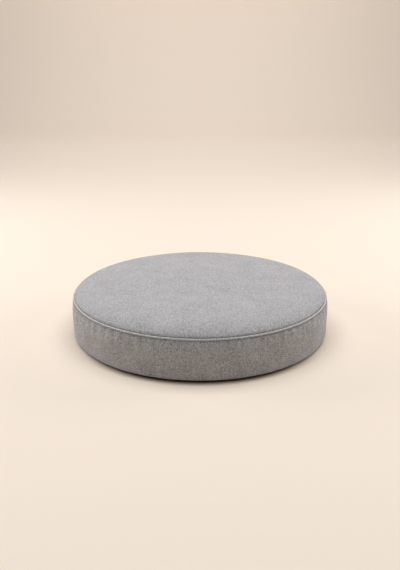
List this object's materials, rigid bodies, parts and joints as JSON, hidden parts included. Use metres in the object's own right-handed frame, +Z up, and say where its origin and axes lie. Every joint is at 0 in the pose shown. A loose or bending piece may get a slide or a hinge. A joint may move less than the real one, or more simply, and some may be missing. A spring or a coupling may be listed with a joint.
{
  "type": "round seat cushion",
  "caption": "Round box seat cushion in grey cloth: crowned top panel, full boxing band with puckers, piped and top-stitched seam, flat underside.",
  "frame": {"origin": "middle of the underside, on the surface that the cushion rests on", "axes": "+Z up through the cushion's thickness, its shortest way; -Y is the side that faces the viewer"},
  "size_m": [0.5998, 0.6, 0.1187],
  "materials": {
    "panel_cloth": "closely woven matt grey cloth with a fine light and dark fleck",
    "band_cloth": "the same matt grey cloth, its fine lines upright round the side",
    "piping_cloth": "the same grey cloth cut on the bias round a thin cord",
    "underside_cloth": "matt grey cloth, plainly finished"
  },
  "bodies": {
    "root": {"boxed_body": "band_cloth", "top_panel": "panel_cloth", "bottom_panel": "underside_cloth", "piping": "piping_cloth"}
  },
  "joints": []
}
